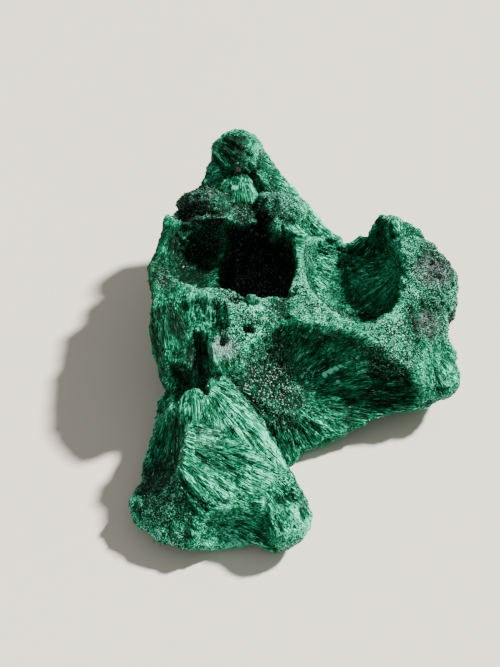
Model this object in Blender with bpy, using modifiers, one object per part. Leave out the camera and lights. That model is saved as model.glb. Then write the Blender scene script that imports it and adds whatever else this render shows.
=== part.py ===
"""Malachite specimen: one natural broken piece of fibrous malachite.

Metres, +Z up. The piece lies as it rests on a table: foot towards -Y, peak
towards +Y, side arm towards +X. Landmarks are given in millimetres.
"""

import math

import bmesh
import bpy
from mathutils import Euler, Vector

# ---------------------------------------------------------------- dimensions
MM = 0.001
REMESH_MM = 0.50            # cell of the surface that joins all the lobes
JOINT_FILL_MM = 1.2         # narrow creases between the lobes are filled
JOINT_CELL_MM = 0.7
JOINT_KEEP = 0.2            # share of the faces kept after the filling
SMOOTH_STEPS = 1            # rounds the crests between two scallops
SMOOTH_FACTOR = 0.5
COARSE_LUMP_MM = 7.0        # size of the broad swellings on the broken faces
COARSE_HEIGHT_MM = 0.35
FINE_LUMP_MM = 2.6          # size of the small knobs
FINE_HEIGHT_MM = 0.25
# conchoidal dishes on the left, back and low faces: name, size and depth
DISHES = (("broad dishes", 11.0, 1.7), ("small dishes", 4.5, 0.6))
DISH_MIDDLE = 0.45
OPEN_SIDE = (0.3, -0.6, 0.75)   # direction in which the large scallops open
SIDE_START = 0.25           # faces turned further away than this are dished
SIDE_FADE = 0.45
TARGET_TRIANGLES = 9700
FLOOR_CUT_MM = 0.0          # height of the plane the piece rests on

NODE_NAME = "malachite"

# Convex lobes of the piece, each given by the corner points it spans (mm).
LOBES = {
    # block round the deep hollow, with its overhanging left edge
    "body": [
        (-18.4, 4.0, 20.8), (-18.2, -1.0, 20.3), (-18.0, 10.0, 21.3),
        (-16.4, 20.0, 21.8), (-13.5, 27.0, 20.0), (-4.0, 27.0, 19.0),
        (9.0, 27.0, 19.0), (11.5, 18.0, 19.0), (10.5, 8.0, 19.0),
        (8.0, -1.0, 19.5), (-1.0, 3.0, 20.0), (-17.0, -5.0, 19.3),
        (-14.8, -11.0, 17.4), (-12.8, -15.0, 15.8), (-7.0, -14.0, 15.5),
        (2.0, -8.0, 15.0), (-16.5, -5.0, 4.0), (-16.5, 14.0, 4.0),
        (-12.5, 26.0, 3.0), (6.0, 27.0, 1.5), (9.0, 8.0, 1.0),
        (5.0, -12.0, 1.0), (-8.0, -12.0, 1.0),
    ],
    # slope that runs from the hollow down to the inner corner
    "slope": [
        (-8.0, 0.0, 19.0), (7.0, -1.0, 19.6), (12.0, -4.0, 19.0),
        (-8.0, -12.0, 15.5), (-4.0, -12.0, 15.5), (3.0, -10.0, 14.0),
        (4.0, -15.0, 8.5), (6.5, -18.5, 4.0), (7.2, -22.5, 0.8),
        (11.0, -17.5, 3.5), (9.0, -20.0, 1.0), (-6.0, -20.0, 1.0),
        (12.0, 4.0, 1.0), (-8.0, 4.0, 1.0),
    ],
    # peak behind the hollow and the slope that falls from it to the right
    "peak": [
        (-7.6, 39.0, 25.0), (-5.0, 42.6, 25.5), (0.0, 42.8, 25.5),
        (2.8, 40.6, 24.0), (-9.2, 34.0, 23.0), (-12.5, 28.0, 20.0),
        (5.0, 33.5, 21.6), (9.2, 28.6, 19.8), (15.2, 24.6, 17.0),
        (18.6, 21.6, 15.4), (-7.0, 40.0, 9.0), (3.5, 40.5, 7.0), (-5.0, 43.0, 16.0), (2.0, 42.6, 16.0),
        (-10.0, 28.0, 3.0), (-5.0, 36.0, 1.0), (6.0, 33.0, 1.0),
        (12.0, 22.0, 1.0), (-6.0, 22.0, 1.0),
    ],
    # web between the body and the arm
    "web": [
        (10.0, 20.0, 18.6), (18.8, 22.0, 15.8), (23.5, 23.0, 14.5),
        (10.0, 8.0, 18.8), (6.0, -1.5, 19.8), (9.0, -3.4, 19.6),
        (13.8, -4.8, 18.6), (20.5, -5.1, 17.2), (27.1, -6.1, 14.8),
        (30.0, -10.4, 11.2), (31.0, 2.0, 14.5),
        (30.0, 12.0, 18.0), (8.8, -19.6, 1.5), (13.2, -18.8, 3.5),
        (20.2, -16.0, 5.0), (27.4, -13.6, 6.0), (10.0, -16.0, 1.0),
        (18.0, -8.0, 2.0), (12.0, 20.0, 2.0), (24.0, 14.0, 4.0),
        (28.0, -3.0, 1.5),
    ],
    # arm end: crest at the back, crystalline end face, low front lobe
    "arm": [
        (25.2, 24.0, 18.8), (26.8, 24.8, 20.6), (29.0, 24.0, 21.4), (31.0, 21.6, 21.0),
        (39.8, 10.6, 19.2), (39.8, 8.4, 18.2), (38.3, 5.0, 14.8),
        (37.0, -1.0, 11.8), (38.4, -5.0, 9.4), (38.2, -8.6, 7.2),
        (34.8, -11.6, 6.0), (27.4, -13.6, 6.5), (29.4, 14.7, 20.0),
        (30.6, 8.0, 17.9), (31.0, 3.5, 15.4), (30.2, 0.5, 13.6), (30.0, -10.2, 11.4),
        (33.4, -11.5, 8.4), (26.0, 20.0, 8.0), (33.0, 13.0, 5.0),
        (33.0, 2.0, 1.0), (31.0, -5.0, 1.5), (25.0, 0.0, 1.0),
    ],
    # foot: ridges fanning from the jagged crest to the front lobes
    "foot": [
        (-12.3, -20.3, 15.0), (-9.5, -18.8, 16.2), (-7.5, -16.5, 16.2),
        (-4.0, -12.5, 15.4), (-1.0, -19.0, 14.2), (2.5, -23.5, 11.6),
        (6.8, -28.5, 8.8), (9.3, -33.0, 6.6), (10.2, -34.0, 5.0),
        (8.6, -36.6, 3.5), (6.4, -39.4, 3.5), (3.5, -40.3, 4.0),
        (-10.2, -25.3, 14.2), (-10.4, -31.8, 11.6), (-5.8, -33.4, 10.0),
        (0.0, -34.3, 8.4), (-10.5, -40.4, 4.0), (-14.8, -39.2, 3.5),
        (-19.2, -35.8, 4.5), (-21.0, -30.5, 5.5), (-18.6, -24.2, 5.5),
        (-17.4, -18.0, 6.0), (-15.4, -11.0, 6.0), (-14.0, -30.0, 1.0),
        (-8.0, -37.0, 1.0), (0.0, -37.0, 1.0), (3.0, -34.5, 1.0), (7.0, -24.0, 1.0),
        (-11.0, -12.0, 1.0),
    ],
}

# The lobes that are joined first and the concave scallops broken out of them,
# each with its centre, half axes, turn and how square it is.
BLOCKS = {
    "main block": (("body", "slope", "peak", "web", "arm"), {
        "hollow deep": ((2.4, 12.5, 18.5), (7.4, 10.7, 13.5), (0, 0, -4), 0.28),
        "hollow left": ((-7.6, 13.4, 20.5), (8.6, 10.2, 10.6), (0, 0, 4), 0.22),
        "hollow middle": ((-2.6, 13.2, 19.0), (7.6, 10.2, 11.6), (0, 0, 0), 0.1),
        "peak facet": ((-2.4, 25.6, 37.0), (7.6, 14.0, 17.4), (0, 0, 0), 0.0),
        "peak groove": ((1.2, 33.2, 21.6), (1.2, 5.6, 2.2), (15, 0, 25), 0.0),
        "front wall": ((-9.0, -5.5, 26.6), (7.6, 8.6, 9.8), (0, 0, 0), 0.2),
        "arm trough": ((20.0, 10.5, 21.0), (10.0, 13.5, 11.5), (0, 0, 4), 0.15),
        "arm face": ((19.0, -19.4, 18.2), (24.2, 13.9, 13.9), (0, 14, -20), 0.15),
        "left wall 1": ((-22.8, -11.0, 5.5), (8.4, 7.5, 8.5), (0, 0, -8), 0.0),
        "left wall 2": ((-23.0, -1.5, 4.5), (8.6, 7.0, 8.0), (0, 0, 6), 0.0),
        "left wall 3": ((-23.2, 9.5, 6.0), (8.8, 6.0, 8.5), (0, 0, -8), 0.0),
        "left wall 4": ((-22.4, 21.0, 3.5), (8.6, 7.5, 8.5), (0, 0, 16), 0.0),
        "arm waist": ((42.6, -0.2, 13.0), (6.0, 5.5, 7.5), (0, 0, 0), 0.0),
        "back right": ((19.0, 38.0, 6.0), (12.0, 13.5, 12.0), (0, 0, 0), 0.0),
        "back left": ((-17.0, 39.6, 9.0), (8.6, 10.0, 11.0), (0, 0, 12), 0.0),
        "peak back": ((1.5, 51.0, 9.0), (8.5, 10.5, 10.0), (0, 0, 0), 0.0),
        "arm back": ((38.0, 23.0, 7.0), (10.0, 9.0, 10.0), (0, 0, 0), 0.0),
        "arm underside": ((22.0, 8.0, -9.0), (9.0, 12.0, 11.0), (0, 0, 0), 0.0),
        "body underside": ((-2.0, 4.0, -13.0), (13.0, 15.0, 15.0), (0, 0, 0), 0.0),
    }),
    "foot block": (("foot",), {
        "foot left": ((-23.0, -26.5, 16.0), (12.6, 15.0, 12.0), (0, 0, -4), 0.0),
        "foot fan": ((-2.0, -28.5, 25.0), (6.4, 14.0, 13.4), (0, 0, 14), 0.0),
        "foot front": ((-2.0, -44.4, 8.4), (9.6, 9.4, 7.6), (0, 0, -6), 0.0),
    }),
}

# Rounded lumps that stand out over the scallops: centre, half axes, turn.
LUMPS = {
    "knob": ((-2.6, 39.6, 23.1), (5.3, 5.2, 5.8), (0, 0, 0)),
    "knob shoulder": ((-7.0, 36.2, 19.6), (2.8, 3.6, 4.6), (0, 0, 0)),
    "left rim lump": ((-9.0, 28.2, 18.6), (5.2, 3.8, 4.6), (0, 10, -8)),
    "right rim lump": ((6.4, 26.8, 17.8), (5.2, 4.4, 5.2), (0, 8, -12)),
    "tongue": ((5.2, 23.8, 15.6), (2.0, 2.6, 5.2), (14, 0, 0)),
    "front right lobe": ((6.0, -35.6, 4.6), (4.0, 4.4, 3.4), (0, 0, -30)),
    "arm lobe": ((35.0, -6.4, 7.2), (3.8, 4.8, 3.6), (0, 0, 20)),
    "foot pad": ((-3.0, -31.0, 2.2), (7.0, 4.0, 3.0), (0, 0, 0)),
    "back pad": ((1.0, 31.0, 2.4), (6.0, 4.0, 3.2), (0, 0, 0)),
    "arm pad": ((30.0, -1.0, 2.6), (3.4, 4.4, 3.4), (0, 0, 0)),
}

# Small pits and cracks of the ragged middle: centre, half axes, turn.
PITS = {
    "rim pit": ((-2.2, 1.6, 20.2), (2.2, 1.4, 2.4), (0, 0, 20)),
    "rim pit end": ((0.2, 0.6, 20.0), (1.4, 1.0, 1.6), (0, 0, -20)),
    "upper pit": ((-9.6, -4.4, 18.4), (1.8, 1.3, 1.8), (0, 0, -30)),
    "upper pit tail": ((-7.4, -5.6, 18.2), (2.0, 0.9, 1.4), (0, 0, -35)),
    "lower pit": ((-5.0, -7.2, 17.6), (1.4, 1.0, 1.8), (0, 0, 60)),
    "right pit": ((-0.3, -4.6, 18.0), (1.2, 1.0, 1.6), (0, 0, 30)),
    "gully": ((-8.6, -10.6, 17.0), (2.4, 8.0, 4.6), (20, 0, 8)),
    "gully mouth": ((-12.4, -14.2, 14.6), (4.4, 4.0, 4.8), (10, 0, 20)),
    "foot nick": ((8.8, -35.4, 7.4), (0.9, 2.2, 2.0), (0, 0, 0)),
}


# -------------------------------------------------------------------- tools
def clear_scene():
    """Take out whatever the new file starts with."""
    for item in list(bpy.data.objects):
        bpy.data.objects.remove(item, do_unlink=True)
    for item in list(bpy.data.meshes):
        bpy.data.meshes.remove(item)


def select_only(piece):
    bpy.ops.object.select_all(action="DESELECT")
    piece.select_set(True)
    bpy.context.view_layer.objects.active = piece


def hull(name, points):
    """Return the convex lobe that spans the given points."""
    shape = bmesh.new()
    for point in points:
        shape.verts.new(Vector(point) * MM)
    result = bmesh.ops.convex_hull(shape, input=shape.verts)
    unused = [item for item in result["geom_interior"] if isinstance(item, bmesh.types.BMVert)]
    bmesh.ops.delete(shape, geom=unused, context="VERTS")
    bmesh.ops.recalc_face_normals(shape, faces=shape.faces)
    mesh = bpy.data.meshes.new(name)
    shape.to_mesh(mesh)
    shape.free()
    lobe = bpy.data.objects.new(name, mesh)
    bpy.context.scene.collection.objects.link(lobe)
    return lobe


def rounded(name, centre, half_axes, turn, square=0.0):
    """Return a rounded body with the given half axes, turned in place."""
    bpy.ops.mesh.primitive_ico_sphere_add(subdivisions=4, radius=1.0)
    ball = bpy.context.object
    ball.name = name
    if square:
        apply_modifier(ball, "CAST", cast_type="CUBOID", factor=square)
    ball.location = Vector(centre) * MM
    ball.scale = Vector(half_axes) * MM
    ball.rotation_euler = Euler([math.radians(angle) for angle in turn])
    select_only(ball)
    bpy.ops.object.transform_apply(location=True, rotation=True, scale=True)
    return ball


def apply_modifier(piece, kind, **settings):
    """Add one modifier with its settings and apply it."""
    modifier = piece.modifiers.new(kind.title(), kind)
    for key, value in settings.items():
        setattr(modifier, key, value)
    select_only(piece)
    bpy.ops.object.modifier_apply(modifier=modifier.name)


def combine(piece, other, operation):
    """Join or cut one closed body with another and drop the other one."""
    apply_modifier(piece, "BOOLEAN", operation=operation, solver="EXACT", object=other)
    bpy.data.objects.remove(other, do_unlink=True)


def swell(piece, name, size_mm, height_mm):
    """Push the surface in and out by a smooth cloud pattern."""
    pattern = bpy.data.textures.new(name, "CLOUDS")
    pattern.noise_scale = size_mm * MM
    pattern.noise_depth = 1
    apply_modifier(piece, "DISPLACE", texture=pattern, texture_coords="LOCAL",
                   strength=2.0 * height_mm * MM, mid_level=0.5)


def fill_joints(piece):
    """Round out the narrow creases where the convex lobes meet."""
    for step in (JOINT_FILL_MM, -JOINT_FILL_MM):
        apply_modifier(piece, "REMESH", mode="VOXEL", voxel_size=JOINT_CELL_MM * MM)
        apply_modifier(piece, "DISPLACE", strength=step * MM, mid_level=0.0)
    apply_modifier(piece, "REMESH", mode="VOXEL", voxel_size=JOINT_CELL_MM * MM)
    apply_modifier(piece, "DECIMATE", ratio=JOINT_KEEP, use_collapse_triangulate=True)


def chip_sides(piece):
    """Break shallow conchoidal dishes into the left, back and low faces."""
    group = piece.vertex_groups.new(name="sides")
    upper = Vector(OPEN_SIDE).normalized()
    for vertex in piece.data.vertices:
        weight = (SIDE_START - vertex.normal.dot(upper)) / SIDE_FADE
        group.add([vertex.index], min(1.0, max(0.0, weight)), "REPLACE")
    for name, size_mm, depth_mm in DISHES:
        pattern = bpy.data.textures.new(name, "VORONOI")
        pattern.noise_scale = size_mm * MM
        apply_modifier(piece, "DISPLACE", texture=pattern, texture_coords="LOCAL",
                       vertex_group=group.name, strength=2.0 * depth_mm * MM,
                       mid_level=DISH_MIDDLE)
    piece.vertex_groups.clear()


def triangle_count(piece):
    return sum(len(face.vertices) - 2 for face in piece.data.polygons)


# -------------------------------------------------------------------- build
def build_block(lobes, scallops):
    """Join some lobes and break their scallops out."""
    block = hull(lobes[0], LOBES[lobes[0]])
    for name in lobes[1:]:
        combine(block, hull(name, LOBES[name]), "UNION")
    fill_joints(block)
    for name, shape in scallops.items():
        combine(block, rounded(name, *shape), "DIFFERENCE")
    return block


def build_rock():
    """Join the blocks, lumps and pits, then weather the skin."""
    rock, foot = [build_block(*block) for block in BLOCKS.values()]
    combine(rock, foot, "UNION")
    for name, shape in LUMPS.items():
        combine(rock, rounded(name, *shape), "UNION")
    for name, shape in PITS.items():
        combine(rock, rounded(name, *shape), "DIFFERENCE")
    apply_modifier(rock, "REMESH", mode="VOXEL", voxel_size=REMESH_MM * MM)
    apply_modifier(rock, "SMOOTH", factor=SMOOTH_FACTOR, iterations=SMOOTH_STEPS)
    chip_sides(rock)
    swell(rock, "broad swelling", COARSE_LUMP_MM, COARSE_HEIGHT_MM)
    swell(rock, "small knobs", FINE_LUMP_MM, FINE_HEIGHT_MM)
    return rock


def thin_out(piece):
    """Bring the skin down to the wanted number of triangles."""
    ratio = TARGET_TRIANGLES / triangle_count(piece)
    apply_modifier(piece, "DECIMATE", ratio=ratio, use_collapse_triangulate=True)


def drop_crumbs(shape):
    """Keep the main body only, without the crumbs that the cut set free."""
    left = set(shape.verts)
    bodies = []
    while left:
        front = [left.pop()]
        body = []
        while front:
            vertex = front.pop()
            body.append(vertex)
            near = {edge.other_vert(vertex) for edge in vertex.link_edges} & left
            left -= near
            front.extend(near)
        bodies.append(body)
    bodies.sort(key=len)
    for body in bodies[:-1]:
        bmesh.ops.delete(shape, geom=body, context="VERTS")


def cut_flat(piece):
    """Cut the piece on the plane it rests on and close the cut."""
    shape = bmesh.new()
    shape.from_mesh(piece.data)
    floor = Vector((0.0, 0.0, FLOOR_CUT_MM * MM))
    parts = shape.verts[:] + shape.edges[:] + shape.faces[:]
    cut = bmesh.ops.bisect_plane(shape, geom=parts, dist=1e-7, plane_co=floor,
                                 plane_no=Vector((0.0, 0.0, 1.0)), clear_inner=True)
    rim = [item for item in cut["geom_cut"] if isinstance(item, bmesh.types.BMEdge)]
    bmesh.ops.holes_fill(shape, edges=rim, sides=0)
    bmesh.ops.remove_doubles(shape, verts=shape.verts[:], dist=0.02 * MM)
    bmesh.ops.triangulate(shape, faces=shape.faces[:])
    drop_crumbs(shape)
    bmesh.ops.recalc_face_normals(shape, faces=shape.faces[:])
    shape.to_mesh(piece.data)
    shape.free()


def centre_on_footprint(piece):
    """Move the piece so that the origin is under the middle of its box."""
    points = [vertex.co for vertex in piece.data.vertices]
    middle_x = (min(p.x for p in points) + max(p.x for p in points)) / 2
    middle_y = (min(p.y for p in points) + max(p.y for p in points)) / 2
    low = min(p.z for p in points)
    for vertex in piece.data.vertices:
        vertex.co -= Vector((middle_x, middle_y, low))


def paint(piece):
    """Plain mid green, half matt: the silky look of the broken fibres."""
    material = bpy.data.materials.new("malachite")
    material.use_nodes = True
    shader = material.node_tree.nodes["Principled BSDF"]
    shader.inputs["Base Color"].default_value = (0.035, 0.22, 0.11, 1.0)
    shader.inputs["Roughness"].default_value = 0.6
    shader.inputs["Metallic"].default_value = 0.0
    piece.data.materials.clear()
    piece.data.materials.append(material)


def main():
    clear_scene()
    rock = build_rock()
    thin_out(rock)
    cut_flat(rock)
    centre_on_footprint(rock)
    paint(rock)
    rock.name = NODE_NAME
    rock.data.name = NODE_NAME
    home = bpy.data.collections.new("malachite specimen")
    bpy.context.scene.collection.children.link(home)
    bpy.context.scene.collection.objects.unlink(rock)
    home.objects.link(rock)
    print("triangles", triangle_count(rock))


main()
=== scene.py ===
"""Malachite specimen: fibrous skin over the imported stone, with floor, lights and camera."""

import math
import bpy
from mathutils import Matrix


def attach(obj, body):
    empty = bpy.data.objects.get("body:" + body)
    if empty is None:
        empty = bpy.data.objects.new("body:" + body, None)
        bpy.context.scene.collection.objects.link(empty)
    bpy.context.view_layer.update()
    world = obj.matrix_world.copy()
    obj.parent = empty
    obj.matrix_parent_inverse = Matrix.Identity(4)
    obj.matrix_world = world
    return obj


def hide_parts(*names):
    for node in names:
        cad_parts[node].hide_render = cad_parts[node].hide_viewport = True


bl_info = {
    "name": "Malachite specimen",
    "version": (1, 0, 0),
    "blender": (4, 5, 0),
    "location": "View3D > Sidebar > Malachite",
    "description": "Builds a broken piece of fibrous malachite on a pale studio floor",
    "category": "Object",
}

import bpy
import numpy as np
from mathutils import Vector, noise

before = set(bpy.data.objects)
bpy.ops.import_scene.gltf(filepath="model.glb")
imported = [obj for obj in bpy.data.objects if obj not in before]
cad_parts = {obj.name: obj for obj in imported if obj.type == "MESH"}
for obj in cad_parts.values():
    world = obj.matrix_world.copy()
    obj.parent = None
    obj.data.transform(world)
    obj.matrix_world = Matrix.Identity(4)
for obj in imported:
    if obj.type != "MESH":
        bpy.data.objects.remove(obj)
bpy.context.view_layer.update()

MM = 0.001
STONE_NODE = "malachite"
STONE_PIECE = "malachite_stone"
FIBRE_PIECE = "malachite_fibres"
GRAIN_PIECE = "malachite_grains"

FINE_LINE = 0.16 * MM
COARSE_LINE = 0.50 * MM
BUMP_DEPTH = 0.20 * MM
SUN_TRAVEL = (-1.02, -0.6, -1.0)
SUN_ANGLE = 5.0
CAMERA_PLACE = (-9.49, -109.48, 130.9)
CAMERA_TILT = 42.0
FLOOR_MOTTLE_SCALE = 9.0
FLOOR_SHADE = 0.94

# Each broken face: its middle, its reach, and the point its fibres grow from (mm).
FACES = {
    "knob": ((-12.1, 37.1, 25.0), 6.5, (-22.0, 42.0, 29.0)),
    "peak facet": ((-14.1, 30.4, 20.0), 6.0, (-11.6, 33.5, 24.5)),
    "right slope": ((1.8, 28.2, 16.0), 9.5, (-11.0, 35.2, 23.0)),
    "left lump": ((-19.7, 26.2, 19.5), 5.0, (-19.1, 26.7, 14.0)),
    "valley ridge": ((-11.7, 23.2, 18.5), 3.5, (-12.2, 25.7, 12.0)),
    "right lump": ((-3.0, 25.2, 19.5), 5.0, (-2.7, 26.7, 14.0)),
    "tongue": ((-4.7, 21.2, 15.0), 2.8, (-3.8, 23.5, 26.0)),
    "hollow left": ((-19.7, 14.7, 13.0), 8.0, (-28.0, 0.6, 17.0)),
    "hollow right": ((-4.7, 14.7, 9.0), 8.0, (-6.5, 14.7, 20.0)),
    "front rim": ((-12.7, 1.7, 19.5), 6.0, (-12.7, 1.7, 12.0)),
    "front wall": ((-17.7, -2.8, 17.0), 6.0, (-17.2, 10.5, 30.0)),
    "left edge": ((-25.2, -6.0, 17.0), 6.0, (-27.1, 6.4, 24.0)),
    "gully": ((-17.5, -12.6, 14.0), 5.5, (-18.2, -2.5, 20.0)),
    "ragged middle": ((-8.7, -5.3, 17.0), 5.5, (-9.7, -6.3, 8.0)),
    "sparkling slope": ((-5.7, -14.8, 11.0), 6.5, (-6.7, -10.3, 3.5)),
    "big face": ((8.3, -11.3, 9.5), 10.0, (-6.8, -14.0, 6.5)),
    "sheet": ((3.3, 14.2, 16.0), 6.0, (-13.7, 19.4, 19.0)),
    "sugar slope": ((6.3, 1.7, 17.0), 7.5, (9.0, 7.3, 3.0)),
    "sugar foot": ((17.3, -5.8, 14.0), 6.5, (11.6, 3.7, 4.0)),
    "trough": ((13.8, 11.7, 12.0), 7.0, (25.8, 14.2, 18.5)),
    "crest wall": ((15.3, 20.9, 15.0), 5.0, (20.6, 22.4, 22.0)),
    "arm end": ((25.8, 8.7, 15.5), 7.0, (21.6, 9.1, 6.0)),
    "arm side": ((28.3, -0.3, 9.0), 6.5, (20.3, 1.7, 10.0)),
    "arm lobe": ((24.8, -8.8, 8.0), 5.0, (17.3, 3.4, 13.0)),
    "foot fan": ((-9.2, -22.3, 13.0), 8.0, (-19.2, -16.1, 17.0)),
    "foot middle": ((-14.2, -30.3, 10.0), 7.5, (-30.0, -25.0, 15.5)),
    "foot left": ((-25.0, -35.5, 6.5), 5.6, (-22.5, -30.5, 1.0)),
    "foot scallop": ((-11.9, -37.8, 4.5), 6.0, (-27.0, -31.5, 6.0)),
    "right lobe": ((-2.7, -36.8, 5.5), 5.0, (-11.5, -26.4, 8.0)),
    "flank": ((-23.7, -20.3, 9.0), 8.5, (-19.7, -10.6, 19.0)),
    "inner corner": ((-2.2, -21.3, 5.0), 5.5, (-6.7, -14.3, 12.0)),
    "left wall": ((-27.7, -0.3, 9.0), 10.0, (-22.7, 5.7, 26.0)),
    "left back": ((-24.7, 17.7, 9.0), 10.0, (-17.7, 21.7, 25.0)),
    "back left": ((-19.7, 31.7, 9.0), 9.0, (-12.7, 34.7, 27.0)),
    "peak back": ((-9.7, 40.7, 12.0), 8.0, (-11.7, 36.7, 30.0)),
    "back right": ((4.3, 30.7, 7.0), 9.0, (-7.7, 32.7, 22.0)),
    "arm back": ((23.3, 19.7, 9.0), 9.0, (20.3, 14.7, 21.0)),
    "arm under": ((17.3, 4.7, 1.0), 9.0, (15.3, 8.7, 14.0)),
    "body under": ((-8.7, 1.7, 0.0), 12.0, (-7.7, 1.7, 15.0)),
}

# Small corrections of the form: middle, radius and how far the middle moves (mm).
SHIFTS = {
    "facet crease": ((-7.9, 31.8, 20.0), 3.6, (0.0, -0.5, 2.3)),
    "foot crease": ((-6.6, -37.5, 7.2), 3.2, (0.0, 0.0, 1.2)),
    "left rim": ((-25.5, 9.5, 20.3), 5.5, (0.4, 0.0, -2.0)),
    "left rim low": ((-25.3, 4.0, 20.5), 3.5, (0.0, 0.0, -0.7)),
    "hollow corner": ((-3.2, 1.6, 18.8), 3.2, (1.0, -0.8, -1.6)),
    "left block": ((-21.5, -11.5, 17.0), 3.6, (-0.5, 0.0, -1.5)),
    "ridge point": ((-11.0, 22.0, 19.2), 2.6, (0.3, -1.2, -0.8)),
    "slot": ((-17.0, -11.5, 12.5), 3.6, (0.0, 0.0, 1.4)),
    "notch": ((-7.0, 21.6, 19.3), 2.6, (0.0, 1.2, -1.6)),
    "roof left": ((-23.0, 21.3, 20.5), 3.0, (0.3, 0.0, -2.0)),
}

# Where the dark crystalline crust lies: middle, radius (mm) and strength.
CRUSTS = {
    "left lump": ((-19.7, 25.7, 20.5), 6.5, 1.0),
    "right lump": ((-3.2, 24.7, 20.5), 5.5, 0.8),
    "valley ridge": ((-12.2, 23.2, 19.0), 3.5, 0.3),
    "knob face": ((-12.6, 35.5, 27.0), 3.0, 0.45),
    "arm end upper": ((26.8, 9.7, 17.0), 6.5, 1.0),
    "arm end lower": ((27.3, 2.2, 12.5), 6.0, 0.9),
    "gully": ((-17.7, -13.3, 14.0), 4.5, 0.5),
    "foot left": ((-25.2, -32.3, 8.0), 6.0, 0.8),
    "right lobe": ((0.2, -35.3, 7.0), 2.5, 0.7),
}

# Painted shade: where the green is made deep and nearly black, mostly shade painted into the
# hollow, caves, notches and the dim left side, partly darker stone on the knob and lumps:
# middle, radius (mm) and strength.
DARK_STONE_AND_PAINTED_SHADE = {
    "hollow": ((-7.5, 15.5, 9.0), 9.0, 1.0),
    "hollow back": ((-8.0, 22.0, 14.0), 7.0, 1.0),
    "hollow left": ((-20.5, 14.5, 12.0), 6.5, 0.35),
    "knob face": ((-12.3, 34.4, 27.9), 4.0, 0.6),
    "left front": ((-24.8, -6.5, 18.0), 5.5, 0.6),
    "left front low": ((-22.8, -11.0, 15.0), 4.0, 0.4),
    "left strip": ((-26.5, 7.5, 19.0), 7.5, 0.5),
    "front rim": ((-14.0, 2.5, 20.5), 6.5, 0.32),
    "back rim left": ((-22.3, 21.8, 20.6), 3.5, 0.9),
    "hollow back left": ((-19.0, 19.5, 14.0), 5.0, 0.5),
    "left lump": ((-20.0, 25.0, 21.5), 5.0, 0.25),
    "right lump": ((-3.5, 23.0, 22.0), 4.0, 0.15),
    "rim cave": ((-11.9, -0.7, 18.0), 1.7, 1.0),
    "middle band": ((-4.2, -2.4, 19.3), 2.8, 0.5),
    "back rim": ((-16.5, 21.3, 20.3), 2.6, 0.6),
    "inner corner": ((-3.2, -19.6, 6.6), 5.0, 0.25),
    "hook": ((-4.2, 19.5, 17.5), 2.6, 0.2),
    "notch": ((-7.0, 21.6, 19.0), 2.4, 0.9),
    "left strip top": ((-26.0, 15.5, 20.0), 5.0, 0.5),
    "face right": ((16.0, -11.0, 11.0), 5.5, 0.3),
    "face foot": ((11.6, -15.2, 5.8), 5.5, 0.2),
    "sparkling slope": ((-5.8, -14.5, 10.5), 7.0, 0.5),
    "left block": ((-21.5, -11.5, 16.5), 4.0, 0.25),
    "foot fan": ((-15.0, -28.5, 12.5), 4.0, 0.15),
    "arm end low": ((22.5, -1.5, 15.0), 4.5, 0.2),
}

# Painted light: where the green is made paler to stand in for more light than the lamps give,
# on shaded faces and on brightly lit slopes: middle, radius (mm) and strength.
PAINTED_LIGHT_PATCHES = {
    "right slope": ((2.0, 25.0, 18.5), 9.0, 0.7),
    "facet": ((-11.8, 28.5, 21.5), 3.5, 0.35),
    "knob right": ((-8.8, 35.0, 26.5), 2.6, 0.4),
    "facet strip": ((-8.6, 27.5, 20.5), 2.2, 0.6),
    "trough": ((15.6, 12.0, 11.5), 8.0, 0.9),
    "front wall": ((-18.2, -2.9, 17.5), 5.0, 0.7),
    "sheet": ((4.7, 16.9, 13.6), 5.5, 0.7),
    "trough side": ((8.0, 9.5, 14.0), 5.0, 1.1),
    "big face left": ((2.0, -10.0, 10.5), 5.5, 0.2),
    "big face middle": ((8.0, -11.5, 9.0), 6.0, 0.35),
    "foot ridge": ((-11.5, -24.5, 13.5), 4.5, 0.8),
    "flank": ((-24.0, -21.0, 8.8), 8.0, 0.3),
    "foot spot": ((-16.5, -27.5, 13.2), 2.2, 0.9),
    "foot ridge right": ((-6.5, -28.5, 11.0), 5.5, 0.7),
    "right lobe": ((-2.5, -38.5, 7.0), 5.0, 0.35),
    "foot slope right": ((-7.5, -32.5, 9.5), 5.0, 0.9),
    "sugar slope": ((5.0, 5.0, 17.0), 5.0, 0.5),
    "shoulder": ((-14.0, -36.0, 9.5), 4.5, 0.7),
    "scallop": ((-12.8, -39.5, 5.0), 5.0, 1.1),
    "foot left": ((-23.5, -38.0, 5.5), 5.0, 0.3),
    "arm lobe": ((24.0, -10.0, 10.5), 4.5, 0.6),
}

# Small marks on the skin: middle, radius (mm) and strength.
FLAKES = {
    "facet spot": ((-12.6, 29.0, 21.6), 0.9, 0.9),
    "stain trail": ((-11.6, 31.1, 23.3), 0.6, 0.7),
    "face flake one": ((4.3, -10.2, 9.2), 0.8, 1.0),
    "face flake two": ((5.3, -9.7, 9.7), 0.85, 1.0),
    "face flake three": ((6.4, -9.3, 10.2), 0.7, 1.0),
    "face flake four": ((7.2, -9.2, 10.8), 0.6, 1.0),
    "face dot": ((6.7, -11.3, 8.5), 0.65, 1.0),
    "rim flake one": ((-10.2, -0.4, 18.7), 0.7, 0.9),
    "rim flake two": ((-9.1, -1.2, 19.2), 0.85, 0.9),
    "rim flake three": ((-8.1, -2.4, 19.6), 0.85, 0.9),
    "rim flake four": ((-7.2, -3.4, 19.8), 0.8, 0.9),
}
STAINS = {
    "facet stain": ((-11.9, 31.9, 24.0), 0.8, 1.0),
}
LILACS = {
    "lilac patch": ((-14.2, -10.6, 17.2), 2.7, 0.75),
    "arm end": ((25.5, 7.0, 18.5), 4.0, 0.35),
    "arm end lower": ((23.5, -2.5, 14.5), 3.0, 0.3),
    "foot ridge": ((-17.0, -27.0, 13.0), 2.5, 0.12),
}

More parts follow.
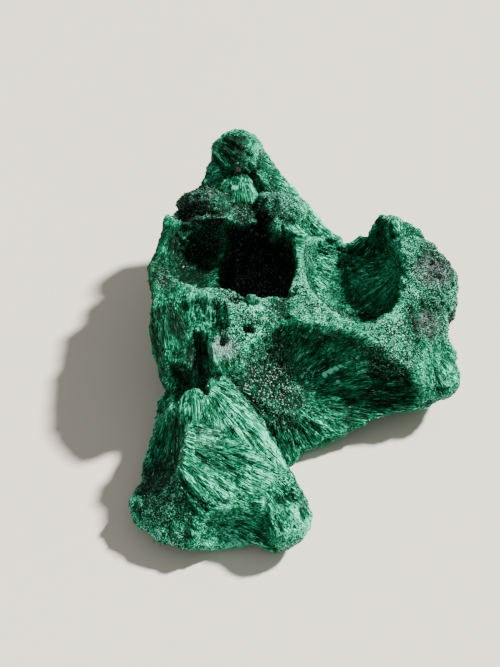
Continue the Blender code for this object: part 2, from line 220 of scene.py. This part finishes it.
# Where loose pale needles dust the surface: middle, radius (mm) and strength.
DUSTS = {
    "lilac patch": ((-13.2, -9.8, 16.5), 3.0, 1.0),
    "sparkling slope": ((-6.2, -14.3, 11.5), 8.5, 0.32),
    "sugar slope": ((5.3, 0.7, 17.5), 7.5, 0.8),
    "sugar foot": ((16.3, -6.3, 14.0), 6.5, 0.5),
    "front rim": ((-14.7, 2.2, 20.0), 6.0, 0.5),
    "ragged middle": ((-8.7, -4.3, 18.0), 4.5, 0.7),
}


# ------------------------------------------------------------------ settings
class StoneSettings(bpy.types.PropertyGroup):
    cell: bpy.props.FloatProperty(
        name="Cell", description="Grid size of the surface before it is thinned out",
        default=0.32 * MM, min=0.2 * MM, unit="LENGTH", precision=5)
    triangles: bpy.props.IntProperty(
        name="Triangles", description="Most triangles the finished stone may have",
        default=195000, min=10000)
    sharpness: bpy.props.FloatProperty(
        name="Sharpness", description="How much the crests and hollows are drawn out",
        default=0.9, min=0.0, max=2.0)
    bundle_width: bpy.props.FloatProperty(
        name="Bundle Width", description="Width of a raised bundle of fibres",
        default=0.75 * MM, unit="LENGTH", precision=5)
    bundle_height: bpy.props.FloatProperty(
        name="Bundle Height", description="How far the bundles stand over the gaps",
        default=0.20 * MM, unit="LENGTH", precision=5)
    crust_height: bpy.props.FloatProperty(
        name="Crust Height", description="Roughness of the crystalline crust",
        default=0.40 * MM, unit="LENGTH", precision=5)
    deep_green: bpy.props.FloatVectorProperty(
        name="Deep Green", description="Gaps between the fibres",
        subtype="COLOR", size=4, default=(0.0024, 0.012, 0.0068, 1.0), min=0.0, max=1.0)
    mid_green: bpy.props.FloatVectorProperty(
        name="Mid Green", description="Sides of the fibres",
        subtype="COLOR", size=4, default=(0.011, 0.125, 0.054, 1.0), min=0.0, max=1.0)
    mint: bpy.props.FloatVectorProperty(
        name="Mint", description="Broken ends of the fibres",
        subtype="COLOR", size=4, default=(0.005, 0.34, 0.165, 1.0), min=0.0, max=1.0)
    silver: bpy.props.FloatVectorProperty(
        name="Silver", description="Glittering fibre tips",
        subtype="COLOR", size=4, default=(0.15, 0.90, 0.62, 1.0), min=0.0, max=1.0)
    # Painted glint: a white highlight colour painted where single crystals would catch the
    # lamp.
    painted_glint: bpy.props.FloatVectorProperty(
        name="Glint", description="White sparkle of single crystals",
        subtype="COLOR", size=4, default=(0.62, 0.95, 0.84, 1.0), min=0.0, max=1.0)
    crust_dark: bpy.props.FloatVectorProperty(
        name="Dark Crust", description="Grey black crystalline skin",
        subtype="COLOR", size=4, default=(0.022, 0.040, 0.034, 1.0), min=0.0, max=1.0)
    lilac: bpy.props.FloatVectorProperty(
        name="Lilac", description="Grey lilac crystal dust",
        subtype="COLOR", size=4, default=(0.34, 0.38, 0.42, 1.0), min=0.0, max=1.0)
    stain: bpy.props.FloatVectorProperty(
        name="Stain", description="Small pink brown stain",
        subtype="COLOR", size=4, default=(0.46, 0.26, 0.20, 1.0), min=0.0, max=1.0)


class FibreSettings(bpy.types.PropertyGroup):
    fibres: bpy.props.IntProperty(
        name="Fibres", description="Number of loose fibre bundles on the broken faces",
        default=30000, min=100)
    fibre_length: bpy.props.FloatProperty(
        name="Fibre Length", description="Usual length of a fibre bundle",
        default=1.3 * MM, unit="LENGTH", precision=5)
    fibre_width: bpy.props.FloatProperty(
        name="Fibre Width", description="Usual width of a fibre bundle",
        default=0.14 * MM, unit="LENGTH", precision=5)
    grains: bpy.props.IntProperty(
        name="Grains", description="Most crystal grains on the crust and the ragged faces",
        default=22000, min=100)
    grain_size: bpy.props.FloatProperty(
        name="Grain Size", description="Usual size of a crystal grain",
        default=0.18 * MM, unit="LENGTH", precision=5)


class StageSettings(bpy.types.PropertyGroup):
    floor_size: bpy.props.FloatProperty(
        name="Floor Size", description="Side of the square floor",
        default=3.0, unit="LENGTH")
    floor_colour: bpy.props.FloatVectorProperty(
        name="Floor Colour", description="Pale warm grey of the floor",
        subtype="COLOR", size=4, default=(0.74, 0.70, 0.61, 1.0), min=0.0, max=1.0)
    key_power: bpy.props.FloatProperty(
        name="Key Power", description="Strength of the main lamp", default=13.2)
    fill: bpy.props.FloatProperty(
        name="Fill", description="Strength of the even light all round", default=0.40)
    lens: bpy.props.FloatProperty(
        name="Lens", description="Focal length of the camera", default=45.88,
        unit="CAMERA")


# --------------------------------------------------------------------- tools
def select_only(piece):
    bpy.ops.object.select_all(action="DESELECT")
    piece.select_set(True)
    bpy.context.view_layer.objects.active = piece


def apply_modifier(piece, kind, **values):
    """Add one modifier with its values and apply it."""
    modifier = piece.modifiers.new(kind.title(), kind)
    for key, value in values.items():
        setattr(modifier, key, value)
    select_only(piece)
    bpy.ops.object.modifier_apply(modifier=modifier.name)


def triangle_count(piece):
    return sum(len(face.vertices) - 2 for face in piece.data.polygons)


def read_vectors(items, name, count):
    values = np.empty(count * 3, np.float32)
    items.foreach_get(name, values)
    return values.reshape(-1, 3).astype(float)


def read_points(piece):
    return read_vectors(piece.data.vertices, "co", len(piece.data.vertices))


def read_normals(piece):
    return read_vectors(piece.data.vertices, "normal", len(piece.data.vertices))


def write_points(piece, points):
    piece.data.vertices.foreach_set("co", points.astype(np.float32).ravel())
    piece.data.update()


def write_floats(piece, name, values):
    layer = piece.data.attributes.new(name, "FLOAT", "POINT")
    layer.data.foreach_set("value", values.astype(np.float32))


def write_places(piece, name, places):
    layer = piece.data.attributes.new(name, "FLOAT_VECTOR", "POINT")
    layer.data.foreach_set("vector", places.astype(np.float32).ravel())


def unit(vectors):
    return vectors / np.linalg.norm(vectors, axis=1, keepdims=True)


def clouds(places, octaves):
    """Return soft noise at every place, about -1 to 1, one unit across."""
    return np.array([noise.fractal(Vector(place), 1.0, 2.0, octaves)
                     for place in places.tolist()])


def blurred(values, edges, steps):
    """Return the values averaged with their neighbours, over and over."""
    one, two = edges[:, 0], edges[:, 1]
    count = len(values)
    around = np.bincount(one, minlength=count) + np.bincount(two, minlength=count)
    for _ in range(steps):
        total = np.empty_like(values)
        for axis in range(values.shape[1]):
            total[:, axis] = (np.bincount(one, values[two, axis], count)
                              + np.bincount(two, values[one, axis], count))
        values = 0.5 * values + 0.5 * total / around[:, None]
    return values


def read_edges(piece):
    edges = np.empty(len(piece.data.edges) * 2, np.int32)
    piece.data.edges.foreach_get("vertices", edges)
    return edges.reshape(-1, 2)


def blobs(points, table):
    """Return how strongly each point lies in the named round patches."""
    share = np.zeros(len(points))
    for middle, radius, strength in table.values():
        away = np.linalg.norm(points / MM - np.array(middle), axis=1) / radius
        share = np.maximum(share, strength * np.clip(1.6 - 1.4 * away, 0.0, 1.0))
    return share


# --------------------------------------------------------------------- stone
def copy_of_stone(settings):
    """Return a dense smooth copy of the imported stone."""
    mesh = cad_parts[STONE_NODE].data.copy()
    piece = bpy.data.objects.new(STONE_PIECE, mesh)
    bpy.context.scene.collection.objects.link(piece)
    mesh.materials.clear()
    select_only(piece)
    bpy.ops.object.mode_set(mode="EDIT")
    bpy.ops.mesh.select_all(action="SELECT")
    bpy.ops.mesh.remove_doubles(threshold=0.001 * MM)
    bpy.ops.object.mode_set(mode="OBJECT")
    apply_modifier(piece, "REMESH", mode="VOXEL", voxel_size=settings.cell)
    apply_modifier(piece, "SMOOTH", factor=0.5, iterations=4)
    points = read_points(piece)
    soft = blurred(points, read_edges(piece), 16)
    points += settings.sharpness * (points - soft)
    for middle, radius, move in SHIFTS.values():
        away = np.linalg.norm(points / MM - np.array(middle), axis=1) / radius
        points += (np.clip(1.0 - away * away, 0.0, 1.0) ** 2)[:, None] * np.array(move) * MM
    points[:, 2] = np.maximum(points[:, 2], 0.0)
    write_points(piece, points)
    return piece


def nearest_face(points):
    """Return the number of the broken face that each point belongs to."""
    rough = clouds(points / (3.0 * MM), 2)
    best = np.full(len(points), 1e9)
    owner = np.zeros(len(points), int)
    for number, (middle, reach, _) in enumerate(FACES.values()):
        away = np.linalg.norm(points / MM - np.array(middle), axis=1) / reach
        away = away + 0.06 * rough * (1 if number % 2 else -1)
        closer = away < best
        best[closer] = away[closer]
        owner[closer] = number
    return owner


def bundles(direction, distance, width):
    """Return the height of fibre bundles that keep one width along their length."""
    level = np.log2(np.maximum(distance / width, 1.0))
    lower = np.floor(level)
    share = level - lower
    along = (distance / (9.0 * width))[:, None] * np.array([0.6, 0.5, 0.7])
    near = clouds(direction * (2.0 ** lower)[:, None] + along, 1)
    far = clouds(direction * (2.0 ** (lower + 1.0))[:, None] + along, 1)
    return 1.0 - 2.6 * np.abs(near * (1.0 - share) + far * share)


def fibre_origins(points):
    """Return the point that the fibres at each point grow from."""
    origins = np.array([face[2] for face in FACES.values()]) * MM
    return origins[nearest_face(points)]


def raise_relief(piece, settings):
    """Push fibre bundles, crust and chips out of the smooth stone."""
    points = read_points(piece)
    normals = unit(blurred(read_normals(piece), read_edges(piece), 3))
    away = points - fibre_origins(points)
    distance = np.linalg.norm(away, axis=1)
    direction = away / np.maximum(distance, 1e-6)[:, None]
    crust = blobs(points, CRUSTS)
    dust = blobs(points, DUSTS)
    ends = np.abs(np.sum(normals * direction, axis=1))
    height = settings.bundle_height * bundles(direction, distance, settings.bundle_width)
    height += 0.6 * settings.bundle_height * bundles(
        direction + 0.31, distance, 0.5 * settings.bundle_width)
    height += 0.9 * settings.bundle_height * bundles(
        direction + 0.77, distance, 2.6 * settings.bundle_width)
    height *= 1.0 - 0.6 * np.maximum(crust, ends * ends)
    grit = clouds(points / (1.3 * MM), 3)
    height += settings.crust_height * grit * (0.12 + 0.65 * crust + 0.45 * dust + 0.3 * ends)
    low = np.clip(points[:, 2] / (0.8 * MM), 0.0, 1.0)
    points = points + normals * ((height - 0.15 * settings.bundle_height) * low)[:, None]
    points[:, 2] = np.maximum(points[:, 2], 0.0)
    write_points(piece, points)


def write_patches(piece, places, copies=1):
    """Store how strongly each coloured patch shows at every point."""
    # The tone patch is painted light from the pale table minus painted shade from the deep
    # table (partly darker stone).
    patches = {"crust": blobs(places, CRUSTS), "dust": blobs(places, DUSTS),
               "tone": blobs(places, PAINTED_LIGHT_PATCHES) - blobs(places, DARK_STONE_AND_PAINTED_SHADE),
               "flake": blobs(places, FLAKES), "stain": blobs(places, STAINS),
               "lilac": blobs(places, LILACS)}
    for name, share in patches.items():
        write_floats(piece, name, np.repeat(share, copies))


def mark_surface(piece):
    """Store what the material needs to know at every point of the stone."""
    points = read_points(piece)
    edges = read_edges(piece)
    normals = unit(blurred(read_normals(piece), edges, 2))
    write_places(piece, "fibre_origin", fibre_origins(points))
    write_patches(piece, points)
    # crest: how far each point bulges out; the material lifts the colour on bulges as a
    # painted highlight and darkens it in creases as painted shade.
    bulge = np.sum((points - blurred(points, edges, 30)) * normals, axis=1)
    write_floats(piece, "crest", np.clip(bulge / (0.25 * MM), -1.0, 1.0))


# ----------------------------------------------------------- fibres and grains
def seats(piece, count, picker):
    """Return places on the stone, spread by area, their outward direction and crest."""
    mesh = piece.data
    mesh.calc_loop_triangles()
    corners = np.empty(len(mesh.loop_triangles) * 3, np.int32)
    mesh.loop_triangles.foreach_get("vertices", corners)
    corners = corners.reshape(-1, 3)
    points, normals = read_points(piece), read_normals(piece)
    one, two, three = (points[corners[:, index]] for index in range(3))
    area = np.linalg.norm(np.cross(two - one, three - one), axis=1)
    chosen = picker.choice(len(area), count, p=area / area.sum())
    share = picker.random((count, 2))
    folded = share.sum(axis=1) > 1.0
    share[folded] = 1.0 - share[folded]
    weights = np.column_stack([1.0 - share.sum(axis=1), share])[:, :, None]
    place = (points[corners[chosen]] * weights).sum(axis=1)
    outward = (normals[corners[chosen]] * weights).sum(axis=1)
    crest = np.empty(len(points), np.float32)
    mesh.attributes["crest"].data.foreach_get("value", crest)
    return place, unit(outward), crest[corners[chosen, 0]]


def crystal_template():
    """Return the points and triangles of one small pointed crystal."""
    bpy.ops.object.select_all(action="DESELECT")
    bpy.ops.mesh.primitive_cone_add(vertices=3, radius1=0.5, radius2=0.0, depth=1.0)
    crystal = bpy.context.object
    points = read_points(crystal)
    faces = np.array([list(face.vertices) for face in crystal.data.polygons])
    mesh = crystal.data
    bpy.data.objects.remove(crystal, do_unlink=True)
    bpy.data.meshes.remove(mesh)
    return points, faces


def strewn(name, place, axis, outward, length, width, shade):
    """Lay one crystal along each axis and join them all in one piece."""
    points, faces = crystal_template()
    side = unit(np.cross(axis, outward))
    up = np.cross(axis, side)
    count = len(place)
    spread = (points[None, :, 2, None] * (axis * length[:, None])[:, None]
              + points[None, :, 0, None] * (side * width[:, None])[:, None]
              + points[None, :, 1, None] * (up * width[:, None])[:, None]
              + place[:, None])
    spread = spread.reshape(-1, 3)
    spread[:, 2] = np.maximum(spread[:, 2], 0.0)
    corners = (faces[None] + (np.arange(count) * len(points))[:, None, None]).reshape(-1, 3)
    mesh = bpy.data.meshes.new(name)
    mesh.vertices.add(len(spread))
    mesh.vertices.foreach_set("co", spread.astype(np.float32).ravel())
    mesh.loops.add(corners.size)
    mesh.loops.foreach_set("vertex_index", corners.astype(np.int32).ravel())
    mesh.polygons.add(len(corners))
    mesh.polygons.foreach_set("loop_start", np.arange(0, corners.size, 3, dtype=np.int32))
    mesh.update(calc_edges=True)
    mesh.validate()
    piece = bpy.data.objects.new(name, mesh)
    bpy.context.scene.collection.objects.link(piece)
    write_places(piece, "fibre_origin", np.repeat(fibre_origins(place), len(points), axis=0))
    write_patches(piece, place, len(points))
    write_floats(piece, "shade", np.repeat(shade, len(points)))
    return piece


def lay_fibres(stone, settings):
    """Lay loose fibre bundles along the grain of every broken face."""
    picker = np.random.default_rng(7)
    place, outward, crest = seats(stone, settings.fibres * 3, picker)
    away = unit(place - fibre_origins(place))
    rise = np.sum(away * outward, axis=1)
    away *= np.where(rise < 0.0, -1.0, 1.0)[:, None]
    rise = np.abs(rise)
    lying = (rise < 0.8) & (crest < 0.4)
    quiet = blobs(place, CRUSTS) < picker.random(len(place))
    kept = np.flatnonzero(lying & quiet & (place[:, 2] > 0.5 * MM))[:settings.fibres]
    place, outward, away, rise = place[kept], outward[kept], away[kept], rise[kept]
    flat = unit(away - outward * rise[:, None])
    lift = np.clip(rise, 0.0, 0.10) * picker.random(len(kept))
    stray = 0.03 * picker.standard_normal((len(kept), 3))
    axis = unit(flat + outward * lift[:, None] + stray)
    spread = np.clip(picker.standard_normal(len(kept)), -2.0, 1.6)
    length = settings.fibre_length * np.exp(0.45 * spread)
    width = settings.fibre_width * np.exp(0.25 * picker.standard_normal(len(kept)))
    shade = picker.standard_normal(len(kept))
    seat = place - outward * (0.15 * width)[:, None]
    return strewn(FIBRE_PIECE, seat, axis, outward, length, width, shade)


def strew_grains(stone, settings):
    """Strew short crystal grains over the crust and the broken fibre ends."""
    picker = np.random.default_rng(11)
    place, outward, _ = seats(stone, settings.grains * 8, picker)
    away = unit(place - fibre_origins(place))
    rise = np.abs(np.sum(away * outward, axis=1))
    liking = np.maximum(blobs(place, CRUSTS), blobs(place, DUSTS)) + 0.06 * rise ** 4 + 0.01
    kept = np.flatnonzero((liking > picker.random(len(place))) & (place[:, 2] > 0.4 * MM))
    kept = kept[:settings.grains]
    place, outward = place[kept], outward[kept]
    axis = unit(picker.standard_normal((len(kept), 3)) + 0.8 * outward)
    width = settings.grain_size * np.exp(0.3 * picker.standard_normal(len(kept)))
    length = width * (1.0 + 1.4 * picker.random(len(kept)))
    shade = picker.standard_normal(len(kept))
    return strewn(GRAIN_PIECE, place + outward * (0.1 * width)[:, None], axis, outward,
                  length, width, shade)


# ----------------------------------------------------------------- materials
def add(tree, kind, inputs=(), **settings):
    """Add a node; inputs are numbers, colours or the sockets that feed them."""
    item = tree.nodes.new(kind)
    for key, value in settings.items():
        setattr(item, key, value)
    for key, value in dict(inputs).items():
        if isinstance(value, bpy.types.NodeSocket):
            tree.links.new(value, item.inputs[key])
        else:
            item.inputs[key].default_value = value
    return item


def maths(tree, operation, one, two=0.0, clamp=False):
    return add(tree, "ShaderNodeMath", {0: one, 1: two},
               operation=operation, use_clamp=clamp).outputs[0]


def vectors(tree, operation, one, two=None):
    inputs = {0: one} if two is None else {0: one, 1: two}
    item = add(tree, "ShaderNodeVectorMath", inputs, operation=operation)
    return item.outputs["Value" if operation in ("LENGTH", "DOT_PRODUCT") else "Vector"]


def span(tree, value, low, high, to_low=0.0, to_high=1.0):
    """Map low..high to to_low..to_high and clamp it."""
    return add(tree, "ShaderNodeMapRange", {
        "Value": value, "From Min": low, "From Max": high,
        "To Min": to_low, "To Max": to_high}).outputs["Result"]


def blend(tree, share, one, two):
    """Mix two colours."""
    item = add(tree, "ShaderNodeMix", data_type="RGBA")
    for socket, value in zip((item.inputs[0], item.inputs[6], item.inputs[7]),
                             (share, one, two)):
        if isinstance(value, bpy.types.NodeSocket):
            tree.links.new(value, socket)
        else:
            socket.default_value = value
    return item.outputs[2]


def streaks(tree, direction, distance, width):
    """Lines along the fibres that keep one width however far they run."""
    level = maths(tree, "LOGARITHM", maths(tree, "MULTIPLY", distance, 1.0 / width), 2.0)
    lower = maths(tree, "FLOOR", level)
    share = maths(tree, "SUBTRACT", level, lower)
    along = maths(tree, "MULTIPLY", distance, 1.0 / (14.0 * width))
    lines = []
    for step in (0.0, 1.0):
        scale = maths(tree, "POWER", 2.0, maths(tree, "ADD", lower, step))
        lines.append(add(tree, "ShaderNodeTexNoise", {
            "Vector": direction, "W": maths(tree, "DIVIDE", along, scale), "Scale": scale,
            "Detail": 2.0, "Roughness": 0.55}, noise_dimensions="4D").outputs["Fac"])
    return add(tree, "ShaderNodeMix", {0: share, 2: lines[0], 3: lines[1]}).outputs[0]


def malachite_material(settings):
    """Silky fibres that fan out from the origin stored on the surface."""
    material = bpy.data.materials.new("fibrous malachite")
    material.use_nodes = True
    tree = material.node_tree
    shader = tree.nodes["Principled BSDF"]
    place = add(tree, "ShaderNodeTexCoord").outputs["Object"]
    origin = add(tree, "ShaderNodeAttribute", attribute_name="fibre_origin").outputs["Vector"]
    crust, dust, crest, shade, painted_light_and_shade, flake, stain, lilac = [
        add(tree, "ShaderNodeAttribute", attribute_name=name).outputs["Fac"]
        for name in ("crust", "dust", "crest", "shade", "tone", "flake", "stain", "lilac")]
    normal = add(tree, "ShaderNodeNewGeometry").outputs["Normal"]
    away = vectors(tree, "SUBTRACT", place, origin)
    distance = vectors(tree, "LENGTH", away)
    direction = vectors(tree, "NORMALIZE", away)
    ends = maths(tree, "ABSOLUTE", vectors(tree, "DOT_PRODUCT", normal, direction))

    fine = streaks(tree, direction, distance, FINE_LINE)
    coarse = streaks(tree, direction, distance, COARSE_LINE)
    grain = add(tree, "ShaderNodeTexNoise", {
        "Vector": place, "Scale": 4000.0, "Detail": 1.0, "Roughness": 0.5}).outputs["Fac"]
    patch = add(tree, "ShaderNodeTexNoise", {
        "Vector": place, "Scale": 170.0, "Detail": 4.0, "Roughness": 0.6}).outputs["Fac"]
    tips = add(tree, "ShaderNodeTexVoronoi", {
        "Vector": place, "Scale": 5200.0}).outputs["Color"]
    tip = add(tree, "ShaderNodeSeparateColor", {"Color": tips}).outputs["Red"]

    tone = maths(tree, "ADD", span(tree, fine, 0.40, 0.61, -0.04, 0.82),
                 span(tree, coarse, 0.38, 0.62, -0.06, 0.18))
    grit = span(tree, grain, 0.37, 0.65, -0.04, 1.0)
    endness = span(tree, ends, 0.55, 0.98)
    mixed = add(tree, "ShaderNodeMix", {0: endness, 2: tone, 3: grit}).outputs[0]
    lift = mixed
    # crest adds a painted highlight on ridges and painted shade in creases; dust and shade
    # are the stone's own tone.
    for part, weight in ((crest, 0.26), (dust, 0.12), (shade, 0.20)):
        lift = maths(tree, "ADD", lift, maths(tree, "MULTIPLY", part, weight))
    lift = maths(tree, "ADD", lift, span(tree, patch, 0.3, 0.7, -0.22, 0.08))
    # Painted shade darkens and painted light lightens the green, both read from the tone
    # attribute.
    for side, weight in (("MINIMUM", 0.8), ("MAXIMUM", 0.35)):
        part = maths(tree, side, painted_light_and_shade, 0.0)
        lift = maths(tree, "ADD", lift, maths(tree, "MULTIPLY", part, weight))

    green = add(tree, "ShaderNodeValToRGB", {"Fac": lift})
    ramp = green.color_ramp
    stops = ((0.15, settings.deep_green), (0.50, settings.mid_green),
             (0.82, settings.mint), (1.0, settings.silver))
    while len(ramp.elements) < len(stops):
        ramp.elements.new(0.5)
    for element, (position, colour) in zip(ramp.elements, stops):
        element.position = position
        element.color = colour
    colour = green.outputs["Color"]

    # Painted glints: white highlights painted into the colour on dusty tips, broken ends and
    # a few fibres and grains.
    sparkle = maths(tree, "MULTIPLY", span(tree, tip, 0.87, 0.92),
                    maths(tree, "ADD", maths(tree, "MULTIPLY", dust, 0.9),
                          maths(tree, "MULTIPLY", endness, 0.3)), clamp=True)
    veins = add(tree, "ShaderNodeTexNoise", {
        "Vector": place, "Scale": 900.0, "Detail": 3.0, "Roughness": 0.7}).outputs["Fac"]
    crusted = maths(tree, "MULTIPLY", crust, span(tree, veins, 0.60, 0.46), clamp=True)
    sparkle = maths(tree, "ADD", sparkle, span(tree, shade, 1.75, 2.1), clamp=True)
    colour = blend(tree, crusted, colour, settings.crust_dark)
    colour = blend(tree, sparkle, colour, settings.painted_glint)
    speckle = span(tree, grain, 0.40, 0.56)
    colour = blend(tree, maths(tree, "MULTIPLY", lilac, speckle), colour, settings.lilac)
    ragged = maths(tree, "MULTIPLY", maths(tree, "SUBTRACT", veins, 0.5), 1.6)
    colour = blend(tree, span(tree, maths(tree, "ADD", flake, ragged), 0.38, 0.66),
                   colour, settings.silver)
    colour = blend(tree, span(tree, maths(tree, "ADD", stain, ragged), 0.42, 0.60),
                   colour, settings.stain)
    tree.links.new(colour, shader.inputs["Base Color"])

    rough = span(tree, mixed, 0.1, 0.9, 0.62, 0.38)
    tree.links.new(rough, shader.inputs["Roughness"])
    shader.inputs["Specular IOR Level"].default_value = 0.04
    shader.inputs["Specular Tint"].default_value = (0.45, 1.0, 0.75, 1.0)
    bump = add(tree, "ShaderNodeBump", {
        "Strength": 1.0, "Distance": BUMP_DEPTH, "Height": mixed})
    tree.links.new(bump.outputs["Normal"], shader.inputs["Normal"])
    return material


def floor_material(settings):
    """Matt pale board with a faint mottle."""
    material = bpy.data.materials.new("studio floor")
    material.use_nodes = True
    tree = material.node_tree
    shader = tree.nodes["Principled BSDF"]
    place = add(tree, "ShaderNodeTexCoord").outputs["Object"]
    mottle = add(tree, "ShaderNodeTexNoise", {
        "Vector": place, "Scale": FLOOR_MOTTLE_SCALE}).outputs["Fac"]
    pale = settings.floor_colour
    shade = [channel * FLOOR_SHADE for channel in pale[:3]] + [1.0]
    tree.links.new(blend(tree, mottle, shade, pale), shader.inputs["Base Color"])
    shader.inputs["Roughness"].default_value = 0.8
    return material


# ----------------------------------------------------------------- operators
class MALACHITE_OT_stone(bpy.types.Operator):
    """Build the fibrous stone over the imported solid"""
    bl_idname = "malachite.stone"
    bl_label = "Build the Stone"

    def execute(self, context):
        settings = context.scene.malachite_stone
        piece = copy_of_stone(settings)
        raise_relief(piece, settings)
        share = settings.triangles / triangle_count(piece)
        if share < 1.0:
            apply_modifier(piece, "DECIMATE", ratio=share, use_collapse_triangulate=True)
            points = read_points(piece)
            points[:, 2] = np.maximum(points[:, 2], 0.0)
            write_points(piece, points)
        mark_surface(piece)
        piece.data.materials.append(malachite_material(settings))
        select_only(piece)
        bpy.ops.object.shade_smooth()
        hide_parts(STONE_NODE)
        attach(piece, "root")
        print("stone triangles", triangle_count(piece))
        return {"FINISHED"}


class MALACHITE_OT_fibres(bpy.types.Operator):
    """Lay loose fibres and crystal grains on the stone"""
    bl_idname = "malachite.fibres"
    bl_label = "Lay the Fibres and Grains"

    def execute(self, context):
        settings = context.scene.malachite_fibres
        stone = bpy.data.objects[STONE_PIECE]
        for piece in (lay_fibres(stone, settings), strew_grains(stone, settings)):
            piece.data.materials.append(stone.data.materials[0])
            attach(piece, "root")
            print(piece.name, triangle_count(piece))
        return {"FINISHED"}


class MALACHITE_OT_stage(bpy.types.Operator):
    """Lay the floor and set the lights and the camera"""
    bl_idname = "malachite.stage"
    bl_label = "Set the Stage"

    def execute(self, context):
        settings = context.scene.malachite_stage
        bpy.ops.object.select_all(action="DESELECT")
        bpy.ops.mesh.primitive_plane_add(size=settings.floor_size)
        floor = context.object
        floor.name = "studio_floor"
        floor.data.materials.append(floor_material(settings))
        self.add_lights(context, settings)
        self.add_camera(context, settings)
        return {"FINISHED"}

    def add_lights(self, context, settings):
        bpy.ops.object.light_add(type="SUN")
        key = context.object
        key.name = "key lamp"
        key.data.energy = settings.key_power
        key.data.angle = math.radians(SUN_ANGLE)
        key.data.color = (1.0, 0.97, 0.92)
        travel = Vector(SUN_TRAVEL)
        key.rotation_euler = travel.to_track_quat("-Z", "Y").to_euler()
        world = bpy.data.worlds.new("studio")
        context.scene.world = world
        world.use_nodes = True
        sky = world.node_tree.nodes["Background"]
        sky.inputs["Color"].default_value = (1.0, 0.98, 0.95, 1.0)
        sky.inputs["Strength"].default_value = settings.fill

    def add_camera(self, context, settings):
        camera = bpy.data.objects.new("camera", bpy.data.cameras.new("camera"))
        context.scene.collection.objects.link(camera)
        camera.data.lens = settings.lens
        camera.data.sensor_width = 36.0
        camera.data.clip_start = 0.01
        camera.location = Vector(CAMERA_PLACE) * MM
        camera.rotation_euler = (math.radians(CAMERA_TILT), 0.0, 0.0)
        context.scene.camera = camera


class MALACHITE_PT_panel(bpy.types.Panel):
    """List the pieces of the specimen"""
    bl_label = "Malachite"
    bl_idname = "MALACHITE_PT_panel"
    bl_space_type = "VIEW_3D"
    bl_region_type = "UI"
    bl_category = "Malachite"

    def draw(self, context):
        for title, group in (("Stone", context.scene.malachite_stone),
                             ("Fibres and Grains", context.scene.malachite_fibres),
                             ("Stage", context.scene.malachite_stage)):
            box = self.layout.box()
            box.label(text=title)
            for name in group.__annotations__:
                box.prop(group, name)
        self.layout.operator("malachite.stone")
        self.layout.operator("malachite.fibres")
        self.layout.operator("malachite.stage")


CLASSES = (StoneSettings, FibreSettings, StageSettings, MALACHITE_OT_stone,
           MALACHITE_OT_fibres, MALACHITE_OT_stage, MALACHITE_PT_panel)


def register():
    for item in CLASSES:
        bpy.utils.register_class(item)
    bpy.types.Scene.malachite_stone = bpy.props.PointerProperty(type=StoneSettings)
    bpy.types.Scene.malachite_fibres = bpy.props.PointerProperty(type=FibreSettings)
    bpy.types.Scene.malachite_stage = bpy.props.PointerProperty(type=StageSettings)


def unregister():
    del bpy.types.Scene.malachite_stage
    del bpy.types.Scene.malachite_fibres
    del bpy.types.Scene.malachite_stone
    for item in reversed(CLASSES):
        bpy.utils.unregister_class(item)


def main():
    register()
    bpy.ops.malachite.stone()
    bpy.ops.malachite.fibres()
    bpy.ops.malachite.stage()


if __name__ == "__main__":
    main()
